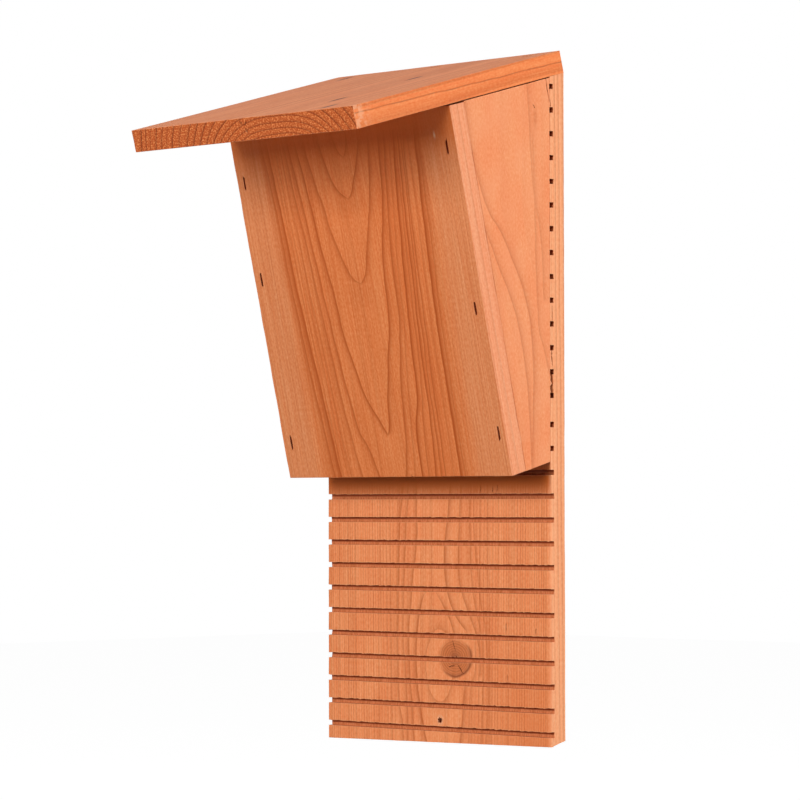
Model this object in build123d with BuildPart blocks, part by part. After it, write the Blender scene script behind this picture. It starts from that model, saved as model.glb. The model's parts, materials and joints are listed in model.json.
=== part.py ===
# Wall-hung wooden bat box: five boards, the staples that join them and a keyhole hanger plate.
# Millimetres. +X is the right of someone facing the box, +Y points into the wall, +Z is up.
# The origin is on the wall face, at the middle of its bottom edge.
from build123d import *
from math import cos, radians, sin, tan
import os

# Boards
board_thickness = 12.0
box_width = 180.0
back_height = 380.4
roof_length = 171.0
roof_thickness = 13.2
roof_pitch = 15.0
bottom_skew = 0.75

# Roost chamber
chamber_bottom = 153.6
entrance_gap = 20.2
front_lean = 13.8
panel_gap = 0.8
side_gap = 0.5

# Grip kerfs, sawn across the back board in passes of a gang of blades
kerf_width = 3.0
kerf_depth = 2.8
kerf_pitch = 13.48
kerfs_per_pass = 14
pass_gap = 16.5
lowest_kerf = 4.8
kerf_top_margin = 4.0

# Lower fixing hole through the landing board
fixing_hole_diameter = 4.0
fixing_hole_height = 9.9
fixing_hole_side = 2.8

# Staples of square wire
staple_crown = 9.0
staple_wire = 1.2
staple_leg = 22.0
staple_sink = 0.6
staple_bend = 0.9

# Front staples: share of the way up the panel, and stray inwards from the side's centre line
staple_stray = 1.2
front_left_places = ((0.103, 0.55), (0.572, -0.1), (0.846, 0.0))
front_right_places = ((0.118, -1.05), (0.457, 0.35), (0.892, 0.95))

# Roof staples: share of the way from the wall to the front panel, and the back pair's distance from the edges
roof_side_places = (0.3, 0.75)
roof_back_inset = 17.0

# Hanger plate, flush in the wall face
plate_height = 44.0
plate_width = 16.0
plate_thickness = 1.5
plate_drop = 52.0
plate_seat = 0.1
keyhole_entry_diameter = 9.0
keyhole_slot_width = 4.6
keyhole_travel = 10.0
head_room = 5.0
head_margin = 0.8

# Hanger screws, countersunk, with a cross recess
screw_diameter = 2.8
screw_length = 8.0
screw_head_diameter = 5.2
screw_head_height = 1.3
screw_tip = 2.0
screw_end_distance = 5.5
screw_clearance = 0.05
recess_length = 3.0
recess_width = 0.6
recess_depth = 0.8

# Directions and planes that the pieces share
pitch = radians(roof_pitch)
lean = radians(front_lean)
half_width = box_width / 2
side_centre = half_width - board_thickness / 2

wall_face = Plane(origin=(0, 0, 0), x_dir=(-1, 0, 0), z_dir=(0, 1, 0))
grooved_face = Plane(origin=(0, -board_thickness, 0), x_dir=(1, 0, 0), z_dir=(0, -1, 0))
bottom_cut = Plane(origin=(0, 0, 0), z_dir=(-tan(radians(bottom_skew)), -tan(pitch), 1))
roof_underside = Plane(origin=(0, 0, back_height), x_dir=(1, 0, 0), z_dir=(0, -sin(pitch), cos(pitch)))
roof_top = roof_underside.offset(roof_thickness)

# The front panel's inner face starts at the front of the entrance slot and leans outwards
slot_front = board_thickness + entrance_gap
panel_inside = Plane(
    origin=(0, -slot_front, chamber_bottom), x_dir=(1, 0, 0), z_dir=(0, -cos(lean), -sin(lean))
)
panel_outside = panel_inside.offset(board_thickness)


def reach_to_roof(face, gap):
    # Distance up a leaning face from its origin to a plane that lies the gap below the roof
    below = roof_underside.origin - face.origin
    return (below.dot(roof_underside.z_dir) - gap) / face.y_dir.dot(roof_underside.z_dir)


panel_length = reach_to_roof(panel_outside, panel_gap)
side_front_length = reach_to_roof(panel_inside, side_gap)
side_top_front = panel_inside.origin + panel_inside.y_dir * side_front_length
back_front_height = back_height - board_thickness * tan(pitch)

# Corners of the side boards, as distance from the wall and height
side_corners = (
    (-board_thickness, back_front_height - side_gap / cos(pitch)),
    (side_top_front.Y, side_top_front.Z),
    (-slot_front, chamber_bottom),
    (-board_thickness, chamber_bottom + entrance_gap * tan(pitch)),
)

# Kerf heights, from the lowest up to just below the roof
kerf_heights = [lowest_kerf]
kerf_limit = back_front_height - kerf_top_margin
while True:
    pass_ended = len(kerf_heights) % kerfs_per_pass == 0
    next_kerf = kerf_heights[-1] + (pass_gap if pass_ended else kerf_pitch)
    if next_kerf > kerf_limit:
        break
    kerf_heights.append(next_kerf)

# Staple places. Each one lies near the middle of the edge of the board that takes the legs.
def up_the_panel(centre, inwards, places):
    strays = inwards * staple_stray
    return [Location((centre + stray * strays, share * panel_length)) for share, stray in places]


front_left_staples = up_the_panel(-side_centre, 1, front_left_places)
front_right_staples = up_the_panel(side_centre, -1, front_right_places)

roof_run = -side_top_front.Y / cos(pitch)
roof_left_staples = [Location((-side_centre, -share * roof_run)) for share in roof_side_places]
roof_right_staples = [Location((side_centre, -share * roof_run)) for share in roof_side_places]

# The back ones lie across the slope, over the middle of the back board's top end
back_board_line = -board_thickness / 2 / cos(pitch) - board_thickness * tan(pitch)
roof_back_side = half_width - roof_back_inset
roof_back_staples = [
    Location((side, back_board_line), 90) for side in (-roof_back_side, 0, roof_back_side)
]

# The back staples go in halfway between kerfs, near the ends and at the middle of the sides' back edges
side_back_bottom = side_corners[3][1]
webs = [(low + high) / 2 for low, high in zip(kerf_heights, kerf_heights[1:])]
side_webs = [web for web in webs if web > side_back_bottom + staple_crown]
back_heights = (side_webs[0], side_webs[len(side_webs) // 2], side_webs[-2])
back_left_staples = [Location((side_centre, height)) for height in back_heights]
back_right_staples = [Location((-side_centre, height)) for height in back_heights]

# Hanger plate places, on the wall face
plate_centre = back_height - plate_drop
screw_reach = plate_height / 2 - screw_end_distance
screw_places = [Location((0, plate_centre + reach)) for reach in (-screw_reach, screw_reach)]
keyhole_entry = Location((0, plate_centre - keyhole_travel / 2))
keyhole_middle = Location((0, plate_centre), 90)


def drive_staples(label, face, places):
    # A group of staples sunk into a face, with their crowns along the face's own Y
    with BuildPart() as staples:
        with BuildSketch(face.offset(-staple_sink)):
            with Locations(*places):
                Rectangle(staple_wire, staple_crown)
        extrude(amount=-staple_wire)
        with BuildSketch(face.offset(-staple_sink)):
            with Locations(*places):
                with GridLocations(0, staple_crown - staple_wire, 1, 2):
                    Rectangle(staple_wire, staple_wire)
        extrude(amount=-staple_leg)
        crown_corners = staples.faces().sort_by(Axis(face.origin, face.z_dir))[-len(places):].edges()
        fillet(crown_corners.group_by(SortBy.LENGTH)[0], radius=staple_bend)
    staples.part.label = label
    export_step(staples.part, f"parts/{label}.step")


def cut_staple_holes(face, places):
    # The slots that the crowns press into the face, and the two leg holes under each
    with BuildSketch(face) as crowns:
        with Locations(*places):
            Rectangle(staple_wire, staple_crown)
    extrude(crowns.sketch, amount=-(staple_sink + staple_wire), mode=Mode.SUBTRACT)
    with BuildSketch(face) as legs:
        with Locations(*places):
            with GridLocations(0, staple_crown - staple_wire, 1, 2):
                Rectangle(staple_wire, staple_wire)
    extrude(legs.sketch, amount=-(staple_sink + staple_leg), mode=Mode.SUBTRACT)


os.makedirs("parts", exist_ok=True)

# Staples
drive_staples("front_staples_left", panel_outside, front_left_staples)
drive_staples("front_staples_right", panel_outside, front_right_staples)
drive_staples("roof_staples_left", roof_top, roof_left_staples)
drive_staples("roof_staples_right", roof_top, roof_right_staples)
drive_staples("roof_staples_back", roof_top, roof_back_staples)
drive_staples("back_staples_left", wall_face, back_left_staples)
drive_staples("back_staples_right", wall_face, back_right_staples)

# Back board: both ends bevelled to the roof's pitch, the bottom one a little out of square
with BuildPart() as back_board:
    with BuildSketch(Plane.YZ):
        with BuildLine():
            Polyline(
                (0, -board_thickness),
                (0, back_height),
                (-board_thickness, back_front_height),
                (-board_thickness, -board_thickness),
                close=True,
            )
        make_face()
    extrude(amount=half_width, both=True)
    split(bisect_by=bottom_cut, keep=Keep.TOP)
    with BuildSketch(grooved_face):
        with Locations(*[(0, height) for height in kerf_heights]):
            Rectangle(box_width, kerf_width)
    extrude(amount=-kerf_depth, mode=Mode.SUBTRACT)
    with BuildSketch(grooved_face):
        with Locations((fixing_hole_side, fixing_hole_height)):
            Circle(fixing_hole_diameter / 2)
    extrude(amount=-board_thickness, mode=Mode.SUBTRACT)
    cut_staple_holes(roof_top, roof_back_staples)
    cut_staple_holes(wall_face, back_left_staples + back_right_staples)
    # Shallow seat for the hanger plate, and behind its keyhole the room for a screw head
    with BuildSketch(wall_face):
        with Locations(keyhole_middle):
            SlotOverall(plate_height + 2 * plate_seat, plate_width + 2 * plate_seat)
    extrude(amount=-plate_thickness, mode=Mode.SUBTRACT)
    with BuildSketch(wall_face):
        with Locations(keyhole_middle):
            SlotCenterToCenter(keyhole_travel, keyhole_entry_diameter + 2 * head_margin)
    extrude(amount=-(plate_thickness + head_room), mode=Mode.SUBTRACT)
    with BuildSketch(wall_face):
        with Locations(*screw_places):
            Circle(screw_diameter / 2 + screw_clearance)
    extrude(amount=-(screw_length + screw_clearance), mode=Mode.SUBTRACT)
back_board.part.label = "back_board"
export_step(back_board.part, "parts/back_board.step")


def saw_side(label, inner_face, front_staples, roof_staples, back_staples):
    # A tapered side board, its top and bottom cut to the roof's pitch
    with BuildPart() as side:
        with BuildSketch(Plane.YZ.offset(inner_face)):
            with BuildLine():
                Polyline(*side_corners, close=True)
            make_face()
        extrude(amount=board_thickness)
        cut_staple_holes(panel_outside, front_staples)
        cut_staple_holes(roof_top, roof_staples)
        cut_staple_holes(wall_face, back_staples)
    side.part.label = label
    export_step(side.part, f"parts/{label}.step")


saw_side("left_side", -half_width, front_left_staples, roof_left_staples, back_left_staples)
saw_side(
    "right_side",
    half_width - board_thickness,
    front_right_staples,
    roof_right_staples,
    back_right_staples,
)

# Front panel: a square-cut board over the front edges of both sides
with BuildPart() as front_panel:
    with BuildSketch(panel_inside):
        Rectangle(box_width, panel_length, align=(Align.CENTER, Align.MIN))
    extrude(amount=board_thickness)
    cut_staple_holes(panel_outside, front_left_staples + front_right_staples)
front_panel.part.label = "front_panel"
export_step(front_panel.part, "parts/front_panel.step")

# Roof: a square-cut board from the wall out over the front panel
with BuildPart() as roof:
    with BuildSketch(roof_underside):
        Rectangle(box_width, roof_length, align=(Align.CENTER, Align.MAX))
    extrude(amount=roof_thickness)
    cut_staple_holes(roof_top, roof_left_staples + roof_right_staples + roof_back_staples)
roof.part.label = "roof"
export_step(roof.part, "parts/roof.step")

# Hanger plate: a stamped plate whose keyhole takes a screw head low down and holds its shank higher up
with BuildPart() as hanger_plate:
    with BuildSketch(wall_face):
        with Locations(keyhole_middle):
            SlotOverall(plate_height, plate_width)
        with Locations(keyhole_middle):
            SlotCenterToCenter(keyhole_travel, keyhole_slot_width, mode=Mode.SUBTRACT)
        with Locations(keyhole_entry):
            Circle(keyhole_entry_diameter / 2, mode=Mode.SUBTRACT)
    extrude(amount=-plate_thickness)
    with Locations(*[wall_face.location * place for place in screw_places]):
        CounterSinkHole(
            radius=screw_diameter / 2 + screw_clearance,
            counter_sink_radius=screw_head_diameter / 2 + screw_clearance,
        )
hanger_plate.part.label = "hanger_plate"
export_step(hanger_plate.part, "parts/hanger_plate.step")

# Hanger screws: countersunk heads flush with the plate, plain shanks, pointed tips
with BuildPart() as hanger_screws:
    for place in screw_places:
        seat = Plane(wall_face.location * place)
        with BuildSketch(Plane(seat.origin, x_dir=seat.x_dir, z_dir=seat.y_dir)):
            with BuildLine():
                Polyline(
                    (0, 0),
                    (screw_head_diameter / 2, 0),
                    (screw_diameter / 2, screw_head_height),
                    (screw_diameter / 2, screw_length - screw_tip),
                    (0, screw_length),
                    close=True,
                )
            make_face()
        revolve(axis=Axis(seat.origin, seat.z_dir))
        with BuildSketch(seat):
            Rectangle(recess_length, recess_width)
            Rectangle(recess_width, recess_length)
        extrude(amount=-recess_depth, mode=Mode.SUBTRACT)
hanger_screws.part.label = "hanger_screws"
export_step(hanger_screws.part, "parts/hanger_screws.step")

print("kerfs", len(kerf_heights), "panel length", round(panel_length, 2), "roof run", round(roof_run, 2))
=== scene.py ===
import json
from math import pi, radians, tan
import bmesh
import bpy
import numpy as np
from mathutils import Matrix, Vector


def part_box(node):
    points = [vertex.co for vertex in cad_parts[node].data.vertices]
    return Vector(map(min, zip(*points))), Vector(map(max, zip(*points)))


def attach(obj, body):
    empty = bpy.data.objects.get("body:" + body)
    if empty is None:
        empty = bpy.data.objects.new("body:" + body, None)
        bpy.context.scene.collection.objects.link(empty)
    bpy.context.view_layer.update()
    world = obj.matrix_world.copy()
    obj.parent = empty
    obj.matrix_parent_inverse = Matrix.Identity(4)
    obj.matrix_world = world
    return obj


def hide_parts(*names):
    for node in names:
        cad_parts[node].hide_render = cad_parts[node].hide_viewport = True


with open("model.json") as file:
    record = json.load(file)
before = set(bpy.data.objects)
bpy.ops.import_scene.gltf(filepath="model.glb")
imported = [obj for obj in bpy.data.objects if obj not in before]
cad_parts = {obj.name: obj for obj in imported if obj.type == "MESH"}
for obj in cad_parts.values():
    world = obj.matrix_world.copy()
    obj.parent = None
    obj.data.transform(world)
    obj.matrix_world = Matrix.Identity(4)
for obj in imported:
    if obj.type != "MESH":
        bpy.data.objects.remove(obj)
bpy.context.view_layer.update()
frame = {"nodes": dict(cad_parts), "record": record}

# Wall-hung wooden bat box. +X to the right, +Y into the wall, +Z up. Sizes in the dictionaries are in mm.
mm = 0.001
print("frame:", len(frame["nodes"]), "nodes")


# Surfaces in numpy

def wander(points, size, seed, waves=14):
    # Smooth noise from about -1 to 1: the sum of sine waves in seeded directions, about one size from
    # crest to crest
    rng = np.random.default_rng(seed)
    pull = rng.normal(size=(points.shape[1], waves))
    pull *= 2 * pi * rng.uniform(0.6, 1.5, waves) / np.linalg.norm(pull, axis=0)
    phase = (points / np.asarray(size, float)) @ pull + rng.uniform(0, 2 * pi, waves)
    return np.sin(phase).sum(1) / np.sqrt(waves)


def gridLines(length, step, radius, spots=()):
    # Lines from 0 to length a step apart, four close ones at each rounded end, finer ones in spots
    # (from, to, step)
    end = np.array([0, radius * (1 - tan(pi / 8)), radius, radius + 0.3])
    lines = [end, length - end, np.linspace(end[-1], length - end[-1], int(length / step) + 1)]
    lines += [np.arange(low, high + fine / 2, fine) for low, high, fine in spots]
    lines = np.unique(np.round(np.concatenate(lines), 2))
    inner = lines[(lines > 0.005) & (lines < length - 0.005)]
    return np.concatenate([[0], inner, [length]])


def latticeSkin(a, b, c):
    # The points on the skin of an a by b by c lattice, as three index arrays, and the quads between them,
    # facing out
    skin = np.zeros((len(a), len(b), len(c)), bool)
    skin[[0, -1]] = skin[:, [0, -1]] = skin[:, :, [0, -1]] = True
    ids = np.full(skin.shape, -1)
    ids[skin] = np.arange(skin.sum())
    walls = [
        (ids[0], True), (ids[-1], False), (ids[:, 0], False), (ids[:, -1], True),
        (ids[:, :, 0], True), (ids[:, :, -1], False),
    ]
    quads = []
    for wall, turned in walls:
        corners = [wall[:-1, :-1], wall[1:, :-1], wall[1:, 1:], wall[:-1, 1:]]
        quads.append(np.stack(corners[::-1] if turned else corners, -1).reshape(-1, 4))
    return np.nonzero(skin), np.concatenate(quads)


def plainMesh(name, points, faces):
    mesh = bpy.data.meshes.new(name)
    mesh.from_pydata(points * mm, [], faces)
    thing = bpy.data.objects.new(name, mesh)
    bpy.context.scene.collection.objects.link(thing)
    return thing


def meshPoints(mesh):
    points = np.zeros(len(mesh.vertices) * 3)
    mesh.vertices.foreach_get("co", points)
    return points.reshape(-1, 3) / mm


def addMasks(piece, masks):
    for name, values in masks.items():
        layer = piece.data.attributes.new(name, "FLOAT", "POINT")
        layer.data.foreach_set("value", np.asarray(values, np.float32))


# Boards, read from the frame

def boardFrame(node, across, along, out, start=None):
    # The eight corners of a board, the furthest points along the diagonals of its three directions. Its own
    # coordinates are across, along the grain and out of its face, from the start or from the middle of its
    # bottom edge
    points = meshPoints(frame["nodes"][node].data)
    ways = np.array([across, along, out], float)
    corners = np.zeros((2, 2, 2, 3))
    for place in np.ndindex(2, 2, 2):
        corners[place] = points[np.argmax(points @ ((np.array(place) * 2 - 1) @ ways))]
    face = corners[:, :, 1]
    side = face.mean(1)[1] - face.mean(1)[0]
    climb = face.mean(0)[1] - face.mean(0)[0]
    if start is None:
        start = face.mean(0)[0]
        ways[:2] = side / np.linalg.norm(side), climb / np.linalg.norm(climb)
    else:
        start = np.array(start, float) + np.abs(ways[2]) * face.mean((0, 1))
    ways[2] = np.cross(ways[0], ways[1])
    own = (corners - start) @ ways.T
    return {
        "node": node, "own": own, "start": start, "turn": ways, "base": own[:, 0, 1, 1].mean(),
        "flank": own[1, :, 1, 0].max(),
        "size": np.array([np.linalg.norm(side), np.linalg.norm(climb), np.ptp(own[..., 2])]),
    }


def ownPlace(board, points):
    return (points - board["start"]) @ board["turn"].T


def carry(board, flat, takeUp):
    # A box of the board's size carried to its eight corners. Lines across it stay level, and the slant of
    # each end is taken up over a stretch next to it
    size, own = board["size"], board["own"]
    side, thick = flat[:, :1] / size[0], flat[:, 2:] / size[2]
    low, high = [
        (own[0, end, 0] * (1 - thick) + own[0, end, 1] * thick) * (1 - side)
        + (own[1, end, 0] * (1 - thick) + own[1, end, 1] * thick) * side
        for end in (0, 1)
    ]
    nearLow = np.clip(1 - flat[:, 1] / takeUp[0], 0, 1)
    nearHigh = np.clip(1 - (size[1] - flat[:, 1]) / takeUp[1], 0, 1)
    along = board["base"] + flat[:, 1]
    along += nearLow * (low[:, 1] - board["base"]) + nearHigh * (high[:, 1] - board["base"] - size[1])
    climb = (along - low[:, 1]) / (high[:, 1] - low[:, 1])
    return low + (high - low) * climb[:, None]


def boardSkin(board, look, spots=((), (), ())):
    # A board as the skin of a lattice. Its edges are rounded by drawing each point to one radius from the
    # inner box, worn more or less by a wander
    size, radius = board["size"], look["edgeRadius"]
    lines = [gridLines(size[axis], look["steps"][axis], radius, spots[axis]) for axis in range(3)]
    (i, j, k), quads = latticeSkin(*lines)
    flat = np.stack([lines[0][i], lines[1][j], lines[2][k]], 1)
    inner = np.clip(flat, radius, size - radius * np.array([1, look.get("roundTop", 1), 1]))
    away = flat - inner
    reach = np.linalg.norm(away, axis=1, keepdims=True)
    drawn = inner + away * np.where(reach > radius, radius / np.maximum(reach, 1e-9), 1)
    wear = np.clip(0.85 + 0.6 * wander(flat, (9, 23, 9), look["seed"]), 0.3, 1.5)
    place = carry(board, flat + (drawn - flat) * wear[:, None], look["takeUp"])
    # edge: 1 on the rounded edges, which the colour paints with a highlight
    edge = np.clip((reach[:, 0] / radius - 1) / 0.3, 0, 1)
    return place, quads, flat[:, 2] / size[2], edge


# Pits: staple slots and cracks, cut into a face

def slotOutlines(board, nodes, seed, atBack=False):
    # A torn oblong round each staple crown at the board's face, or at its back, across and along the board
    outlines = []
    for node in nodes:
        points = ownPlace(board, meshPoints(frame["nodes"][node].data)) * (1, 1, -1 if atBack else 1)
        crowns = points[points[:, 2] > points[:, 2].max() - 0.05]
        axis = int(np.ptp(crowns[:, 1]) > np.ptp(crowns[:, 0]))
        crowns = crowns[np.argsort(crowns[:, axis])]
        for crown in np.split(crowns, np.flatnonzero(np.diff(crowns[:, axis]) > 12) + 1):
            low, high = crown.min(0)[:2], crown.max(0)[:2]
            turn = np.linspace(0, 2 * pi, 48, endpoint=False)
            oblong = np.stack([np.cos(turn), np.sin(turn)], 1)
            oblong = np.sign(oblong) * np.abs(oblong) ** 0.35 * ((high - low) / 2 + 0.12)
            torn = 1 + 0.16 * wander(oblong, (0.9, 0.9), seed + len(outlines))
            outlines.append((low + high) / 2 + oblong * np.maximum(torn, 0.9)[:, None])
    return outlines


def crackOutline(start, end, width, seed):
    # A crooked sliver from start to end: half its width times the root of 1 - (2s - 1)^2, s from 0 to 1
    start, run = np.array(start, float), np.subtract(end, start)
    length = np.linalg.norm(run)
    share = (1 - np.cos(np.linspace(0, pi, 13))) / 2
    spine = start + share[:, None] * run
    normal = np.array([-run[1], run[0]]) / length
    crook = 0.25 * width * wander(spine, (length / 3,) * 2, seed) * np.sin(pi * share)
    spine += crook[:, None] * normal
    half = width / 2 * np.sqrt(np.clip(1 - (2 * share - 1) ** 2, 0, 1))
    half *= 1 + 0.3 * wander(spine, (width * 2,) * 2, seed + 1)
    sides = half[1:-1, None] * normal
    return np.concatenate([spine[:1], spine[1:-1] - sides, spine[-1:], (spine[1:-1] + sides)[::-1]])


def pitPlace(board, face, outline, deep):
    # An outline on the board's face, back, right flank or lower end as places that lie deep below it
    first, second = outline.T
    deep = np.full(len(outline), float(deep))
    return np.stack({
        "face": (first, second, -deep), "back": (first, second, deep - board["size"][2]),
        "flank": (board["flank"] - deep, second, first), "end": (first, board["base"] + deep, second),
    }[face], 1)


cutting = {"above": 0.4, "weld": 0.05}  # how far a cutter stands above the face, how wide a slit is welded


def pitCutter(board, pits):
    # One closed shell for each pit (face, outline, depth, floor share): from above the face down to a
    # narrowed floor
    points, faces = [], []
    for face, outline, deep, floor in pits:
        count, first = len(outline), sum(map(len, points))
        middle = outline.mean(0) if floor > 0.5 else (outline + outline[(-np.arange(count)) % count]) / 2
        points.append(pitPlace(board, face, outline, -cutting["above"]))
        points.append(pitPlace(board, face, middle + (outline - middle) * floor, deep))
        ring = np.arange(count)
        walls = np.stack([ring, np.roll(ring, -1), np.roll(ring, -1) + count, ring + count], 1) + first
        faces += [*walls.tolist(), (ring + first).tolist(), (ring + first + count).tolist()]
    return plainMesh("pits", board["start"] + np.concatenate(points) @ board["turn"], faces)


def cutOut(piece, cutters):
    # Takes the cutters out of the piece, then fills or welds the fine slits that the cuts leave open
    for tool in cutters:
        shell = bmesh.new()
        shell.from_mesh(tool.data)
        bmesh.ops.recalc_face_normals(shell, faces=shell.faces)
        shell.to_mesh(tool.data)
        shell.free()
        cut = piece.modifiers.new(tool.name, "BOOLEAN")
        cut.object, cut.operation, cut.solver = tool, "DIFFERENCE", "EXACT"
    whole = piece.evaluated_get(bpy.context.evaluated_depsgraph_get())
    mesh = bpy.data.meshes.new_from_object(whole)
    piece.modifiers.clear()
    piece.data = mesh
    shell = bmesh.new()
    shell.from_mesh(mesh)
    bmesh.ops.holes_fill(shell, edges=[edge for edge in shell.edges if edge.is_boundary])
    openSpots = [spot for spot in shell.verts if spot.is_boundary]
    bmesh.ops.remove_doubles(shell, verts=openSpots, dist=cutting["weld"] * mm)
    shell.to_mesh(mesh)
    shell.free()
    for tool in cutters:
        bpy.data.objects.remove(tool)


def pitMask(board, place, pits):
    # How deep each point lies in a pit, from 0 at its rim to 1 a little way down; the colour paints shade
    # with it
    mask = np.zeros(len(place))
    for face, outline, deep, _ in pits:
        spot, depth = {
            "face": (place[:, :2], -place[:, 2]), "back": (place[:, :2], place[:, 2] + board["size"][2]),
            "flank": (place[:, [2, 1]], board["flank"] - place[:, 0]),
            "end": (place[:, [0, 2]], place[:, 1] - board["base"]),
        }[face]
        low, high = outline.min(0) - 0.05, outline.max(0) + 0.05
        inside = ((spot > low) & (spot < high)).all(1) & (depth < deep + 0.05)
        rim = depth[inside].min() if inside.any() else 0
        mask = np.maximum(mask, inside * np.clip((depth - rim) / 0.3, 0, 1))
    return mask


def boardPiece(name, board, place, quads, masks, pits=(), cutters=()):
    # A mesh object at the origin that stands for the board's CAD node, with smooth shading that keeps the
    # sharp cuts
    piece = plainMesh(name, board["start"] + place @ board["turn"], quads)
    addMasks(piece, masks)
    if pits:
        cutters = [pitCutter(board, pits), *cutters]
    if cutters:
        cutOut(piece, cutters)
    # split: depth in the pits, which the colour darkens as painted shade
    addMasks(piece, {"split": pitMask(board, ownPlace(board, meshPoints(piece.data)), pits)})
    piece.data.shade_smooth()
    piece.data.set_sharp_from_angle(angle=radians(20))
    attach(piece, "root")
    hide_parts(board["node"])
    print(name, len(piece.data.polygons), "faces")
    return piece


def boardPits(board, look, staples=(), atBack=False):
    # The staple slots and the cracks of a board; a crack is (face, start, end, width, depth)
    side = "back" if atBack else "face"
    slots = slotOutlines(board, staples, look["seed"], atBack)
    pits = [(side, outline, look["slotDepth"], 1.0) for outline in slots]
    for number, (face, start, end, width, deep) in enumerate(look["cracks"]):
        pits.append((face, crackOutline(start, end, width, look["seed"] + 7 * number), deep, 0.15))
    return pits


def plainBoard(name, board, look, staples=()):
    # A board whose face is hollowed a little by a wander, and planed down where its look says so
    place, quads, rise, edge = boardSkin(board, look)
    hollow = look["hollow"] * np.clip(1 + wander(place, (60, 140, 60), look["seed"] + 3), 0, 2) / 2
    place[:, 2] -= rise * (hollow + look.get("planed", 0))
    return boardPiece(name, board, place, quads, {"edge": edge}, boardPits(board, look, staples))


right, left, up = (1, 0, 0), (-1, 0, 0), (0, 0, 1)
frontward, wallward = (0, -1, 0), (0, 1, 0)

# Front panel: places across it and up it. A nick in the bottom edge
frontPanel = {
    "edgeRadius": 0.5, "takeUp": (4, 4), "steps": (4, 4, 3), "seed": 11, "slotDepth": 1.0, "hollow": 0.12,
    "cracks": [("face", (11.6, -1.5), (11.9, 1.6), 0.9, 0.9)],
}
panelFrame = boardFrame("front_panel", right, up, frontward)
panelPiece = plainBoard("frontPanel", panelFrame, frontPanel, ["front_staples_left", "front_staples_right"])

# Roof: places across it and up its slope from the front edge. Drying checks in the top and a star of splits
# in the front end. The wood has closed over the staples along its sides
roofBoard = {
    "edgeRadius": 0.35, "takeUp": (4, 4), "steps": (3, 4, 2), "seed": 23, "slotDepth": 1.3, "hollow": 0.1,
    "planed": 0.35,
    "cracks": [
        ("face", (37.4, 35.5), (38.6, 47.2), 1.1, 1.2), ("face", (29.8, 103.2), (31.9, 115.0), 1.0, 1.2),
        ("face", (60.5, 8.0), (61.5, 14.0), 0.8, 0.8), ("end", (-0.6, -1.6), (1.9, -4.6), 1.5, 1.2),
        ("end", (3.4, -5.9), (5.2, -9.6), 1.5, 1.0), ("end", (5.6, -2.2), (3.8, -4.5), 1.1, 1.0),
    ],
}
roofFrame = boardFrame("roof", right, wallward, up)
roofPiece = plainBoard("roofBoard", roofFrame, roofBoard, ["roof_staples_back"])

# Sides: places in y and z. A split and a nick near the top of the right one
rightSide = {
    "edgeRadius": 0.3, "takeUp": (40, 40), "steps": (3, 4, 3), "seed": 37, "hollow": 0.1,
    "cracks": [
        ("face", (-15.2, 377.0), (-12.3, 362.5), 0.8, 1.6),
        ("face", (-25.9, 360.5), (-24.2, 358.4), 1.0, 0.7),
    ],
}
leftSide = dict(rightSide, seed=41, cracks=[("face", (20.0, 250.0), (20.6, 258.0), 0.6, 0.7)])
rightFrame = boardFrame("right_side", wallward, up, right, (0, 0, 0))
leftFrame = boardFrame("left_side", frontward, up, left, (0, 0, 0))
rightPiece = plainBoard("rightSide", rightFrame, rightSide)
leftPiece = plainBoard("leftSide", leftFrame, leftSide)

# Back board: places in x and z. Grip kerfs with torn edges, a knot with cracks, a torn right edge, and cuts
# for the hanger
backBoard = {
    "edgeRadius": 0.35, "takeUp": (5.85, 3.8), "roundTop": 0, "steps": (1.2, 9, 2.4), "seed": 53,
    "slotDepth": 1.0, "kerfTorn": 0.11, "tornTufts": 0.4, "tornReach": 0.5, "kerfRough": 0.15,
    "landing": 152.0, "easedWidth": 2.0, "easedDepth": 0.9, "flankSpots": (8.2, 11.8, 0.9),
    "cracks": [
        ("face", (10.0, 41.0), (14.8, 41.9), 0.8, 0.9), ("face", (17.0, 42.6), (21.8, 37.0), 0.9, 0.9),
        ("face", (15.8, 47.6), (17.1, 43.8), 1.2, 0.9), ("face", (12.8, 57.0), (15.4, 50.0), 0.7, 0.8),
        ("face", (55.2, 61.2), (55.5, 67.4), 0.6, 0.8), ("face", (78.2, 61.2), (78.6, 65.2), 0.6, 0.8),
        ("face", (35.6, 141.8), (35.7, 146.0), 0.5, 0.8), ("face", (44.9, 141.8), (45.2, 145.4), 0.6, 0.8),
        ("face", (48.2, 141.8), (49.2, 146.4), 0.6, 0.8), ("face", (56.1, 34.2), (56.2, 38.0), 0.5, 0.8),
        ("flank", (-0.25, 364.6), (-1.1, 359.6), 0.6, 1.0),
        ("flank", (-1.7, 247.6), (-1.8, 237.4), 0.6, 1.0),
        ("flank", (-1.0, 222.6), (-1.8, 213.2), 1.1, 1.5),
        ("flank", (-1.1, 210.4), (-1.5, 196.0), 2.6, 1.8),
    ],
    "headRoom": {"travel": 10.0, "width": 10.6, "depth": 6.5}, "plateSeat": 0.1,
}
backFrame = boardFrame("back_board", right, up, frontward, (0, 0, 0))
holeMount = next(mount for mount in frame["record"]["mounts"] if mount["name"] == "lower_fixing_hole")
holePlace = np.array(holeMount["pos_m"])[[0, 2]] / mm
holeRadius = holeMount["dims"]["r_mm"]


def kerfEdges():
    # Bottom and top of each kerf and their depth, from the notches that the kerfs leave in the board's
    # side edges
    place = ownPlace(backFrame, meshPoints(frame["nodes"]["back_board"].data))
    atSide = np.abs(place[:, 0]) > place[:, 0].max() - 0.01
    inside = (place[:, 2] < -0.1) & (place[:, 2] > 0.1 - backFrame["size"][2])
    notch = place[atSide & inside]
    return np.unique(np.round(notch[:, 1], 2)).reshape(-1, 2), -notch[:, 2].mean()


kerfs, kerfDepth = kerfEdges()
print("kerfs:", len(kerfs), "depth", round(kerfDepth, 2))


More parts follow.
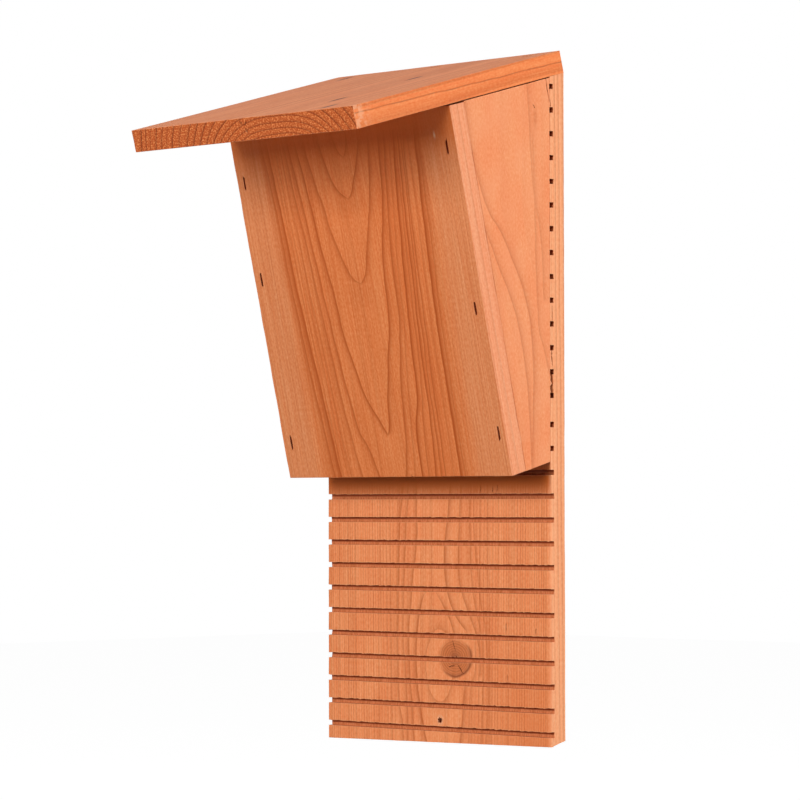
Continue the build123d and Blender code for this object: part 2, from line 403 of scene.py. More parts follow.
def kerfPlace(place):
    # How far each point lies inside a kerf, in mm, how far up it, from 0 to 1, and how near its torn top
    # edge it is
    inside, climb, tear = np.full(len(place), -99.0), np.zeros(len(place)), np.zeros(len(place))
    for low, high in kerfs:
        reach = np.minimum(place[:, 1] - low, high - place[:, 1])
        climb = np.where(reach > inside, (place[:, 1] - low) / (high - low), climb)
        inside = np.maximum(inside, reach)
        tear = np.maximum(tear, 1 - np.abs(place[:, 1] - high) / backBoard["tornReach"])
    return inside, climb, tear


def stadium(reach, half, count=40):
    # Outline of two half circles joined by straight sides, about the origin, long way up
    turn = np.linspace(0, 2 * pi, count, endpoint=False)
    return np.stack([half * np.cos(turn), half * np.sin(turn) + np.where(turn < pi, reach, -reach)], 1)


def hangerPits():
    # The fixing hole right through, the seat of the hanger plate, and the room behind it for a screw head
    low, high = (np.array(corner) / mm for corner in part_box("hanger_plate"))
    middle = (low + high)[[0, 2]] / 2
    half = (high - low)[0] / 2 + backBoard["plateSeat"]
    seatReach = (high - low)[2] / 2 + backBoard["plateSeat"] - half
    room = backBoard["headRoom"]
    hole = stadium(0.0, holeRadius)
    hole *= np.clip(0.82 + 0.16 * wander(hole, (1.3, 1.3), 71), 0.6, 1)[:, None]
    return [
        [("face", holePlace + hole, backFrame["size"][2] + 1, 1.0)],
        [("back", middle + stadium(seatReach, half), (high - low)[1], 1.0)],
        [("back", middle + stadium(room["travel"] / 2, room["width"] / 2), room["depth"], 1.0)],
    ]


def makeBackBoard():
    # The kerfs are pairs of close lattice lines, pushed in between. Their top edges wander up and down
    look, board = backBoard, backFrame
    along = []
    for low, high in kerfs - board["base"]:
        reaches = [0.03]
        if high + board["base"] < look["landing"]:
            reaches.append(look["tornReach"])
        along += [(edge - reach, edge + reach, 2 * reach) for reach in reaches for edge in (low, high)]
    across = [(board["size"][0] - look["easedWidth"],) * 2 + (1.0,)]
    place, quads, rise, edge = boardSkin(board, look, (across, along, [look["flankSpots"]]))
    inside, climb, tear = kerfPlace(place)
    cut = (inside > 0) * 1.0
    spot = place[:, :1] + np.floor(place[:, 1:2] / 4.5) * 37
    torn = look["kerfTorn"] * (wander(spot, (7,), 61) + wander(spot, (2.8,), 62))
    torn += look["tornTufts"] * np.clip(wander(spot, (5,), 63) - 1.2, 0, 1)
    eased = np.clip(1 - (place[:, 0].max() - place[:, 0]) / look["easedWidth"], 0, 1) * (rise > 0.9)
    eased *= np.clip(look["landing"] - place[:, 1], 0, 1)
    deep = kerfDepth + look["kerfRough"] * wander(place, (7, 2, 7), 64)
    place[:, 2] -= cut * rise * deep + look["easedDepth"] * eased * (1 - cut)
    place[:, 1] += torn * tear * rise
    # lip: a narrow strip along the edges of each kerf on the landing, painted with a highlight
    lip = np.clip(1 + inside / look["tornReach"], 0, 1) * (cut < 0.5) * (rise > 0.99)
    lip *= place[:, 1] < look["landing"]
    masks = {
        # edge: rounded edges, the eased chamfer and kerf lips, where the colour paints a highlight
        "edge": np.maximum.reduce([edge, eased * (1 - cut), 0.8 * lip]),
        # sawn rises from 0.5 to 1 up each kerf floor, so that the colour can paint shade at the top of it
        "sawn": cut * (rise > 0.99) * (0.5 + 0.5 * np.clip(climb, 0, 1)),
    }
    pits = boardPits(board, look, ["back_staples_left", "back_staples_right"], True)
    hole, *hanger = hangerPits()
    cutters = [pitCutter(board, holes) for holes in hanger]
    return boardPiece("backBoard", board, place, quads, masks, pits + hole, cutters)


backPiece = makeBackBoard()
print("board pieces made")


# Materials

def paint(red, green, blue):
    # A colour as it shows, from 0 to 255, as the linear one that a shader takes
    shown = np.array([red, green, blue]) / 255
    return (*np.where(shown > 0.04045, ((shown + 0.055) / 1.055) ** 2.4, shown / 12.92), 1.0)


def add(tree, kind, inputs=None, **settings):
    # A node with its settings, its inputs linked or set
    made = tree.nodes.new("ShaderNode" + kind)
    for name, value in settings.items():
        setattr(made, name, value)
    for name, value in (inputs or {}).items():
        if isinstance(value, bpy.types.NodeSocket):
            tree.links.new(value, made.inputs[name])
        else:
            made.inputs[name].default_value = value
    return made


def calc(tree, operation, *values):
    return add(tree, "Math", dict(enumerate(values)), operation=operation).outputs[0]


def times(tree, first, *others):
    for other in others:
        first = calc(tree, "MULTIPLY", first, other)
    return first


def steps(tree, operation, *values):
    return add(tree, "VectorMath", dict(enumerate(values)), operation=operation).outputs


def apart(tree, vector):
    return add(tree, "SeparateXYZ", {0: vector}).outputs


def between(tree, value, low, high, start=0.0, end=1.0, kind="SMOOTHSTEP"):
    inputs = {"Value": value, "From Min": low, "From Max": high, "To Min": start, "To Max": end}
    return add(tree, "MapRange", inputs, interpolation_type=kind).outputs[0]


def mix(tree, share, first, second):
    return add(tree, "Mix", {0: share, 6: first, 7: second}, data_type="RGBA").outputs[2]


def noise(tree, vector, stretch, detail=2.0, output=0):
    scaled = steps(tree, "MULTIPLY", vector, stretch)[0]
    return add(tree, "TexNoise", {"Vector": scaled, "Scale": 1.0, "Detail": detail}).outputs[output]


def fallOff(tree, value):
    # 1 at 0, e times less for each step of 1
    return calc(tree, "EXPONENT", calc(tree, "MULTIPLY", value, -1.0))


def bell(tree, vector, middle, size):
    # 1 at the middle, falling off as a bell curve over the size
    away = steps(tree, "DIVIDE", steps(tree, "SUBTRACT", vector, middle)[0], size)[0]
    return fallOff(tree, steps(tree, "DOT_PRODUCT", away, away)["Value"])


def ridge(tree, value, middle, size):
    # A bell curve over a single value
    lone = add(tree, "CombineXYZ", {0: value}).outputs[0]
    return bell(tree, lone, (middle, 0.0, 0.0), (size, 1.0, 1.0))


def patch(tree, place, colour, middle, size, share, tint):
    # A soft patch of a tint laid over the colour
    return mix(tree, times(tree, bell(tree, place, middle, size), share), colour, tint)


def effectGroup(name, takes, gives, build):
    # A node group with named sockets; build gives the socket for each output
    tree = bpy.data.node_groups.new(name, "ShaderNodeTree")
    for label, value in takes.items():
        kind = "NodeSocketVector" if isinstance(value, tuple) else "NodeSocketFloat"
        tree.interface.new_socket(label, in_out="INPUT", socket_type=kind).default_value = value
    for label in gives:
        tree.interface.new_socket(label, in_out="OUTPUT", socket_type="NodeSocketFloat")
    made = build(tree, tree.nodes.new("NodeGroupInput").outputs)
    end = tree.nodes.new("NodeGroupOutput")
    for label, socket in zip(gives, made):
        tree.links.new(socket, end.inputs[label])
    return tree


def useGroup(tree, group, inputs):
    return add(tree, "Group", inputs, node_tree=group).outputs


def buildLogRadius(tree, given):
    # Distance from the heart of the log: the root of side squared plus depth squared, or a higher power
    # for rings with flat tops. The heart leans along the board, less so away from it, may bend deeper
    # further up, and wanders
    drift = noise(tree, given["Board"], (0.02, 0.005, 0.02), 2.0, 1)
    drift = apart(tree, steps(tree, "SUBTRACT", drift, (0.5, 0.5, 0.5))[0])
    place = apart(tree, given["Board"])
    side = calc(tree, "SUBTRACT", place[0], given["Heart Across"])
    fade = calc(tree, "DIVIDE", side, given["Fade"])
    fade = fallOff(tree, times(tree, fade, fade))
    climb = calc(tree, "SUBTRACT", place[1], given["Middle"])
    side = calc(tree, "MULTIPLY_ADD", fade, given["Shift"], side)
    side = calc(tree, "MULTIPLY_ADD", drift[0], given["Wander"], side)
    depth = calc(tree, "SUBTRACT", place[2], given["Heart Depth"])
    depth = calc(tree, "SUBTRACT", depth, times(tree, climb, fade, given["Lean"]))
    bent = between(tree, climb, times(tree, given["Reach"], -1.0), given["Reach"])
    depth = calc(tree, "MULTIPLY_ADD", bent, given["Bend"], depth)
    depth = calc(tree, "MULTIPLY_ADD", drift[2], given["Wander"], depth)
    power = given["Squareness"]
    legs = [calc(tree, "POWER", calc(tree, "ABSOLUTE", leg), power) for leg in (side, depth)]
    return [calc(tree, "POWER", calc(tree, "ADD", *legs), calc(tree, "DIVIDE", 1.0, power))]


def buildYearBand(tree, given):
    # Stain takes most in the soft wood at the start of each year and fades outwards; it sets in within a
    # short stretch
    share = calc(tree, "FRACT", given["Years"])
    fading = calc(tree, "POWER", calc(tree, "SUBTRACT", 1.0, share), given["Fading"])
    setting = between(tree, share, calc(tree, "SUBTRACT", 1.0, given["Setting"]), 1.0)
    return [calc(tree, "MAXIMUM", fading, setting)]


def buildFibre(tree, given):
    # Fine streaks along the grain, broad streaks, short dark flecks, wide soft mottling and small pores
    fine = noise(tree, given["Board"], (1.05, 0.014, 1.05), 3.0)
    broad = noise(tree, given["Board"], (0.2, 0.004, 0.2), 2.0)
    fleck = between(tree, noise(tree, given["Board"], (1.3, 0.2, 1.3), 1.0), 0.70, 0.80)
    mottle = noise(tree, given["Board"], (0.05, 0.022, 0.05), 3.0)
    pore = noise(tree, given["Board"], (0.9, 0.5, 0.9), 2.0)
    return [fine, broad, fleck, mottle, pore]


def buildCutEnd(tree, given):
    # How far a face is cut across the grain, and the torn pale specks of such a face
    facing = steps(tree, "DOT_PRODUCT", given["Normal"], given["Grain"])["Value"]
    across = between(tree, calc(tree, "ABSOLUTE", facing), 0.6, 0.9)
    speck = between(tree, noise(tree, given["Board"], (0.8, 0.8, 1.1), 3.0), 0.44, 0.66)
    return [across, speck]


logRadius = effectGroup("logRadius", {
    "Board": (0, 0, 0), "Heart Across": 0.0, "Heart Depth": -40.0, "Lean": 0.0, "Middle": 0.0,
    "Fade": 1000.0, "Shift": 0.0, "Bend": 0.0, "Reach": 60.0, "Wander": 2.0, "Squareness": 2.0,
}, ["Radius"], buildLogRadius)
yearBand = effectGroup("yearBand", {
    "Years": 0.0, "Fading": 3.0, "Setting": 0.12,
}, ["Band"], buildYearBand)
fibre = effectGroup("fibre", {
    "Board": (0, 0, 0),
}, ["Fine", "Broad", "Fleck", "Mottle", "Pore"], buildFibre)
cutEnd = effectGroup("cutEnd", {
    "Board": (0, 0, 0), "Normal": (0, 0, 1), "Grain": (0, 0, 1),
}, ["Across", "Speck"], buildCutEnd)


def growth(start, spacing, tightest, tone, seed, until):
    # Year rings as (radius, tone): gaps go from the first spacing to the tightest, and gaps and tones
    # have a seeded spread
    rng = np.random.default_rng(seed)
    count = int((until - start) / tightest) + 2
    gaps = np.linspace(spacing, tightest, count) * rng.uniform(0.7, 1.3, count)
    radii = start + np.cumsum(gaps) - gaps[0]
    tones = tone * rng.uniform(0.3, 1.0, count)
    return [(radius, shade) for radius, shade in zip(radii, tones) if radius < until]


def heightCurve(tree, value, places, heights, handles="VECTOR"):
    # A curve over the value through a height from 0 to 1 at each place, straight between them or,
    # with handles AUTO, smooth
    low, high = places[0], places[-1]
    made = add(tree, "FloatCurve", {"Value": between(tree, value, low, high, kind="LINEAR")})
    curve = made.mapping.curves[0]
    curve.points[0].location = (0, heights[0])
    curve.points[1].location = (1, heights[-1])
    for place, height in zip(places[1:-1], heights[1:-1]):
        curve.points.new((place - low) / (high - low), height)
    for point in curve.points:
        point.handle_type = handles
    made.mapping.update()
    return made.outputs[0]


def boardVector(tree, board):
    # Object coordinates as the board's own: across, along the grain and out of its face, in mm
    turn = Matrix(board["turn"].tolist()).transposed()
    return add(tree, "Mapping", {
        "Vector": add(tree, "TexCoord").outputs["Object"],
        "Location": Vector(board["start"] * mm), "Rotation": turn.to_euler(), "Scale": (mm, mm, mm),
    }, vector_type="TEXTURE").outputs[0]


def boardMask(tree, name):
    return add(tree, "Attribute", attribute_name=name).outputs["Fac"]


def woodMaterial(name, board, wood, extras=()):
    material = bpy.data.materials.new(name)
    material.use_nodes = True
    tree = material.node_tree
    shader = tree.nodes["Principled BSDF"]
    place = boardVector(tree, board)
    radius = useGroup(tree, logRadius, {"Board": place, **wood["log"]})["Radius"]
    radii, tones = zip(*wood["years"])
    count = len(radii)
    years = times(tree, heightCurve(tree, radius, radii, np.linspace(0, 1, count)), count - 1.0)
    tone = heightCurve(tree, radius, radii, tones)
    setting = {"Years": years, "Fading": wood["fading"], "Setting": wood["setting"]}
    band = useGroup(tree, yearBand, setting)["Band"]
    grain = useGroup(tree, fibre, {"Board": place})
    normal = add(tree, "NewGeometry").outputs["Normal"]
    end = useGroup(tree, cutEnd, {"Board": place, "Normal": normal, "Grain": tuple(board["turn"][1])})
    flank = steps(tree, "DOT_PRODUCT", normal, tuple(board["turn"][0]))["Value"]
    flank = between(tree, calc(tree, "ABSOLUTE", flank), 0.7, 0.95)

    # Face: body colour with mottling, paler sapwood far from the heart, broad streaks, year bands and fibres
    stain = times(tree, band, tone)
    colour = mix(tree, between(tree, grain["Mottle"], 0.3, 0.7), wood["body"], wood["blush"])
    colour = mix(tree, between(tree, radius, *wood["sapFrom"]), colour, wood["sap"])
    streak = between(tree, grain["Broad"], 0.45, 0.75, 0.0, wood["streak"])
    colour = mix(tree, streak, colour, wood["stain"])
    # Side faces take the flank colour: a paler one on most boards, painted sheen on the side faces, and a
    # redder one on the roof
    colour = mix(tree, times(tree, flank, wood["flankPale"]), colour, wood["flank"])
    colour = mix(tree, stain, colour, wood["stain"])
    shade = between(tree, grain["Fine"], 0.25, 0.75, -wood["fine"], wood["fine"], "LINEAR")
    shade = calc(tree, "SUBTRACT", shade, times(tree, grain["Fleck"], wood["fleck"]))
    pores = calc(tree, "SUBTRACT", grain["Pore"], 0.5)
    shade = calc(tree, "MULTIPLY_ADD", pores, wood["pore"], shade)
    bright = calc(tree, "MULTIPLY_ADD", shade, wood["fibreLight"], 1.0)
    colour = add(tree, "HueSaturation", {"Value": bright, "Color": colour}).outputs[0]
    deep = calc(tree, "MULTIPLY_ADD", shade, -wood["fibreDepth"], 1.0)
    colour = add(tree, "Gamma", {"Gamma": deep, "Color": colour}).outputs[0]
    for extra in extras:
        colour = extra(tree, place, colour)

    # Cut ends: redder and darker, with torn pale specks and dark year lines
    endColour = mix(tree, end["Speck"], wood["endDark"], wood["endPale"])
    endLines = times(tree, calc(tree, "POWER", band, wood["endSharp"]), tone, wood["endRings"])
    endColour = mix(tree, endLines, endColour, wood["endLine"])
    colour = mix(tree, end["Across"], colour, endColour)
    # Painted highlight along the rounded edges, the eased chamfer and the kerf lips
    colour = mix(tree, times(tree, boardMask(tree, "edge"), wood["wear"]), colour, wood["worn"])

    # Kerf floors, with painted shade on the upper part of each floor under the kerf's top edge, and painted
    # shade in splits, slots and the fixing hole, darker deeper in
    sawn = boardMask(tree, "sawn")
    hatch = noise(tree, place, (1.5, 0.3, 0.3), 1.0)
    sawnColour = mix(tree, between(tree, hatch, 0.35, 0.65), wood["sawn"], wood["sawnPale"])
    # Painted shade on the upper part of the kerf floor, under the kerf's top edge
    sawnColour = mix(tree, between(tree, sawn, 0.72, 0.86), sawnColour, wood["sawnDark"])
    colour = mix(tree, between(tree, sawn, 0.1, 0.5), colour, sawnColour)
    # Painted shade inside splits, staple slots and the fixing hole, darker with depth
    colour = mix(tree, times(tree, boardMask(tree, "split"), wood["splitShare"]), colour, wood["split"])
    tree.links.new(colour, shader.inputs["Base Color"])

    rough = calc(tree, "MULTIPLY_ADD", end["Across"], wood["endRough"], wood["rough"])
    rough = calc(tree, "MULTIPLY_ADD", grain["Fine"], wood["fineRough"], rough)
    tree.links.new(rough, shader.inputs["Roughness"])
    shader.inputs["Specular IOR Level"].default_value = wood["gloss"]
    height = calc(tree, "MULTIPLY_ADD", grain["Fine"], 0.7, times(tree, stain, -0.5))
    height = calc(tree, "MULTIPLY_ADD", times(tree, end["Speck"], end["Across"]), 2.5, height)
    relief = {"Strength": wood["relief"], "Distance": wood["reliefDepth"] * mm, "Height": height}
    tree.links.new(add(tree, "Bump", relief).outputs[0], shader.inputs["Normal"])
    return material


def grainLines(tree, place, lines, weight, spread):
    # Growth lines drawn up the board, as one mask. Each is (strength, fading, points along and across),
    # sharp on one side and fading to the right of it, or to the left if the fading is negative
    drift = calc(tree, "SUBTRACT", noise(tree, place, (0.12, 0.06, 0.12), 2.0), 0.5)
    spot = apart(tree, place)
    across = calc(tree, "MULTIPLY_ADD", drift, 1.6, spot[0])
    ink = 0.0
    for strength, fading, points in lines:
        along, side = np.array(points).T
        low, high = side.min() - 1, side.max() + 1
        width = fading * spread
        line = heightCurve(tree, spot[1], along, (side - low) / (high - low), "AUTO")
        gap = calc(tree, "SUBTRACT", across, calc(tree, "MULTIPLY_ADD", line, high - low, low))
        gap = calc(tree, "DIVIDE", gap, width)
        faded = fallOff(tree, calc(tree, "MAXIMUM", gap, 0.0))
        sharp = between(tree, gap, -1.0 / abs(width), 0.15 / abs(width))
        begun = between(tree, spot[1], along[0] - 2, along[0] + 2)
        ended = between(tree, spot[1], along[-1] + 4, along[-1] - 12)
        ink = calc(tree, "MAXIMUM", ink, times(tree, faded, sharp, begun, ended, strength * weight))
    return ink


softwood = {
    "body": paint(218, 124, 68), "blush": paint(212, 117, 61), "sap": paint(216, 132, 82),
    "sapFrom": (500.0, 600.0), "stain": paint(168, 74, 16), "streak": 0.25, "fading": 3.0, "setting": 0.12,
    # worn, wear: the painted highlight on edges, and its share
    "flank": paint(226, 142, 94), "flankPale": 0.6, "worn": paint(228, 150, 104), "wear": 0.3,
    "endDark": paint(146, 60, 22), "endPale": paint(204, 122, 76), "endLine": paint(104, 42, 14),
    "endRings": 2.0, "endSharp": 1.0,
    # sawnDark is painted shade at the top of each kerf floor
    "sawn": paint(188, 102, 54), "sawnPale": paint(210, 122, 76), "sawnDark": paint(142, 58, 14),
    # split: painted shade inside pits
    "split": paint(62, 20, 6), "splitShare": 0.9,
    "fine": 0.14, "fleck": 0.12, "pore": 0.55, "fibreLight": 0.1, "fibreDepth": 0.95,
    "rough": 0.55, "endRough": 0.25, "fineRough": 0.15, "gloss": 0.25, "relief": 0.25, "reliefDepth": 0.12,
}


# Front panel: growth lines, from the left edge to the right, and marks as (middle, size, share, tint)
panelLines = [
    (0.6, -3.2, [(-3, -51), (20, -52.8), (40, -54.7), (60, -56.5), (80, -57.8), (100, -59),
                 (120, -60.3), (140, -60.8), (160, -61.5), (200, -65)]),
    (0.72, -4.0, [(-3, -46), (20, -48), (40, -49.5), (60, -51), (80, -53), (100, -54.8), (120, -56),
                  (140, -56.8), (160, -58), (200, -60)]),
    (0.32, -1.0, [(-3, -44), (40, -47.5), (80, -49.5), (100, -51.5), (120, -52.5), (140, -53.5),
                  (160, -55), (200, -57)]),
    (0.29, -1.2, [(-3, -39.5), (40, -44), (80, -46), (120, -49.5), (160, -52), (200, -54)]),
    (0.35, -1.5, [(-3, -37), (40, -41), (80, -43), (120, -46), (160, -48), (200, -50)]),
    (0.52, -1.9, [(-3, -28), (20, -31.5), (40, -34), (60, -35.5), (80, -37.3), (100, -38.8),
                  (120, -40.3), (140, -41.5), (160, -43.5), (200, -46)]),
    (0.61, -1.9, [(-3, -14), (10, -17), (20, -21), (30, -25.5), (40, -27), (60, -30), (80, -32),
                  (100, -33.8), (120, -35.5), (140, -37), (160, -39), (200, -43)]),
    (0.72, -1.9, [(25, -2), (30, -5), (35, -7.5), (40, -10.5), (50, -15.5), (60, -18), (70, -20.5),
                  (80, -23), (90, -24.5), (100, -25), (110, -26), (120, -27.5), (140, -30.5),
                  (160, -32.3), (200, -37)]),
    (0.58, -2.5, [(114, -2), (117, -8), (120, -10.5), (130, -14.5), (140, -18), (150, -20.5),
                  (160, -22), (170, -25), (200, -30)]),
    (0.61, -2.2, [(163, -1), (167, -7), (170, -9.5), (175, -12), (185, -15), (200, -18)]),
    (0.5, -2.0, [(187, 1), (190, -2.5), (195, -4.5), (203, -6)]),
    (0.5, 2.0, [(187, 1), (190, 3), (195, 4.8), (203, 6.5)]),
    (0.61, 2.2, [(163, -1), (167, 3), (172, 5), (180, 9), (190, 13), (200, 16)]),
    (0.61, 2.2, [(114, -2), (117, 1), (120, 3), (130, 6), (140, 9.3), (150, 12.5), (160, 15.5),
                 (170, 18), (180, 20), (200, 23)]),
    (0.72, 1.9, [(25, -2), (30, 0.5), (40, 2), (50, 4), (60, 6.5), (70, 9), (80, 12), (90, 14.5),
                 (100, 15.8), (120, 17.5), (130, 19), (140, 21), (150, 23.8), (160, 26), (180, 29),
                 (200, 31)]),
    (0.61, 1.7, [(-3, 6), (10, 9.5), (20, 11.5), (40, 14), (60, 16.5), (70, 19), (80, 21), (90, 23),
                 (100, 24), (120, 25), (140, 27), (160, 30), (200, 36)]),
    (0.35, 1.3, [(-3, 14), (30, 18), (60, 21.5), (90, 26.5), (120, 29), (160, 34.5), (200, 40)]),
    (0.85, 1.7, [(-3, 20), (20, 21), (30, 22), (38, 24.5), (45, 26.5), (55, 28), (75, 29.3),
                 (100, 31.5), (120, 33.5), (140, 35.8), (160, 38), (200, 43.5)]),
    (0.46, 1.2, [(-3, 25), (30, 28), (60, 32.5), (100, 35.5), (120, 37), (160, 41), (200, 45)]),
    (0.72, 1.3, [(-3, 30.5), (20, 33), (40, 34.5), (60, 35.3), (80, 36.5), (100, 38.2), (120, 39.8),
                 (140, 41.2), (160, 43), (200, 47)]),
    (0.58, 1.0, [(-3, 35), (20, 36.5), (60, 38), (80, 39.5), (100, 40.5), (120, 42.5), (140, 44),
                 (160, 46), (200, 49)]),
    (0.58, 1.0, [(-3, 38.4), (40, 40.3), (60, 41), (80, 42.5), (120, 44.5), (155, 46.8), (200, 51)]),
    (0.29, 1.4, [(-3, 45), (40, 46.5), (60, 46.8), (100, 48.3), (120, 49.5), (160, 52), (200, 54)]),
    (0.85, 2.4, [(-3, 50.4), (20, 51), (60, 51.7), (80, 52), (100, 52.6), (120, 53.9), (140, 55.3),
                 (160, 56.6), (180, 58.3), (200, 59.5)]),
    (0.49, 1.2, [(-3, 54), (40, 54.5), (60, 54.8), (80, 55.5), (100, 56.2), (120, 58), (140, 59),
                 (155, 59.8), (200, 62)]),
]
panelMarks = {
    "lineWeight": 1.45, "lineSpread": 0.8,
    "streak": ((36.0, 90.0, 0.0), (13.0, 400.0, 400.0), 0.3, paint(212, 104, 44)),
    "tips": [
        ((-3.0, 107.0, 0.0), (13.0, 9.0, 90.0), 0.2, softwood["stain"]),
        ((-1.0, 159.0, 0.0), (12.0, 6.0, 90.0), 0.2, softwood["stain"]),
    ],
    # underRoof: painted shadow, a warmer, deeper tint over the top of the panel's face where the roof shades
    # it
    "underRoof": {"from": 176.0, "to": 202.0, "share": 0.6, "tint": paint(238, 118, 40)},
    "chip": ((74.7, 194.4, 0.0), (0.7, 1.7, 20.0), 1.0, paint(244, 200, 160)),
}
panelWood = dict(
    softwood, sapFrom=(70.0, 84.0), fine=0.15, flank=paint(238, 154, 110), flankPale=0.85,
    years=[(30, 0.05), (40, 0.06), (50, 0.06), (56, 0.1), *growth(58, 1.9, 1.6, 0.26, 4, 106)],
    log={
        "Heart Across": 1.0, "Heart Depth": -43.0, "Lean": 0.0675, "Middle": 105.0, "Fade": 45.0,
        "Shift": 4.5, "Wander": 1.2,
    },
)


def panelGrain(tree, place, colour):
    # The nested arches of the panel, the soft dark patch below the tips of two of them, a redder streak
    # right of the middle, a warm, deeper tint painted as the roof's shadow on the top of the face, and a
    # chip
    marks, half = panelMarks, panelFrame["size"][0] / 2
    colour = patch(tree, place, colour, *marks["streak"])
    ink = grainLines(tree, place, panelLines, marks["lineWeight"], marks["lineSpread"])
    colour = mix(tree, ink, colour, softwood["stain"])
    for tip in marks["tips"]:
        colour = patch(tree, place, colour, *tip)
    # Painted shadow of the roof: a warmer, deeper tint over the top of the face
    spot, tintZone = apart(tree, place), marks["underRoof"]
    onFace = between(tree, spot[0], half, half - 0.6)
    share = between(tree, spot[1], tintZone["from"], tintZone["to"], 0.0, tintZone["share"])
    colour = mix(tree, times(tree, share, onFace), colour, tintZone["tint"])
    return patch(tree, place, colour, *marks["chip"])


# Landing board: growth lines that bend round a knot
landingLines = [
    (0.41, -1.6, [(-4, -27), (8, -28), (15, -29.5), (25, -31), (60, -31.5), (95, -31), (110, -30.5),
                  (125, -29.8), (135, -28.3), (152, -26)]),
    (0.35, -1.4, [(-4, -23), (20, -24), (40, -25.5), (60, -27.3), (80, -27), (105, -25.8), (125, -24.3),
                  (152, -22.5)]),
    (0.46, -1.8, [(-4, -18), (20, -20), (40, -21.8), (60, -22.6), (78, -20.7), (92, -19.5), (105, -17),
                  (120, -15.8), (135, -16.2), (152, -15)]),
    (0.57, -1.8, [(-4, -8), (10, -11.5), (20, -13.8), (30, -15.5), (45, -16.7), (62, -15.3),
                  (70, -14.2), (75, -13), (80, -11.5), (84, -8), (85.5, -4)]),
    (0.46, 1.8, [(60, 14.5), (65, 12.5), (70, 10), (75, 6.5), (80, 3), (84, -0.5), (85.5, -4)]),
    (0.49, 2.1, [(62, 24), (65, 20.5), (70, 16), (75, 13), (80, 10.5), (85, 9), (95, 7.2), (105, 6.5),
                 (120, 8), (130, 9.5), (152, 12)]),
    (0.41, 1.8, [(36, 34.3), (50, 34.5), (55, 33.5), (60, 32), (70, 27.5), (75, 25), (80, 22.5),
                 (85, 20.5), (92, 18.5), (105, 17.8), (120, 18.5), (152, 20)]),
    (0.32, 1.4, [(-4, 35), (30, 37), (50, 37), (60, 35.5), (80, 30.5), (90, 28.5), (110, 27.3),
                 (130, 27), (152, 28)]),
    (0.3, 1.4, [(-4, 39), (30, 41), (60, 39.5), (80, 35), (95, 33.5), (110, 31), (135, 30), (152, 31)]),
    (0.46, 2.1, [(-4, 18.5), (8, 20.3), (15, 21.3), (25, 22), (36, 23.5)]),
    (0.27, 1.4, [(-4, 25.5), (20, 26.5), (30, 27.5), (40, 31), (52, 31), (60, 28)]),
]
landingMarks = {
    "lineWeight": 1.35, "lineSpread": 1.0, "drift": 1.8,
    "oval": {"middle": (2.5, 41.5, 0.0), "size": (11.0, 21.5, 90.0), "share": 0.4},
    "knot": {
        "middle": (15.0, 46.4, 0.0), "size": (13.4, 11.0, 60.0), "rings": 8.0,
        "wood": paint(198, 108, 56), "ring": paint(150, 68, 24),
        "heart": paint(120, 54, 24), "rim": paint(120, 52, 20),
    },
    "frontDepth": (-5.0, -3.5),
    "lowRight": {"across": (10.0, 80.0), "up": (90.0, 10.0), "share": 0.35, "tint": paint(206, 100, 40)},
    # underPanel: painted shadow, a darker tint on the landing's top strip below the panel's bottom edge
    "underPanel": {"from": (137.0, 149.0), "to": (160.0, 153.0), "tint": paint(206, 102, 36)},
    "drillRim": {"reach": 1.2, "share": 0.6, "tint": paint(226, 178, 142)},
}
landingWood = dict(
    softwood, body=paint(238, 148, 94), blush=paint(232, 137, 84), flank=paint(240, 164, 116),
    flankPale=0.85, worn=paint(240, 168, 122), wear=0.5, fine=0.13,
    years=[(40, 0.03), (50, 0.04), (60, 0.08), *growth(64, 1.6, 1.35, 0.5, 3, 125)],
    log={"Heart Across": -1.5, "Heart Depth": -55.0, "Lean": 0.01, "Middle": 60.0, "Wander": 1.2},
)


def ovalReach(tree, place, oval):
    # Place from the middle of an oval in shares of its size, as a vector and as a length
    away = steps(tree, "SUBTRACT", place, oval["middle"])[0]
    away = steps(tree, "DIVIDE", away, oval["size"])[0]
    return away, steps(tree, "LENGTH", away)["Value"]


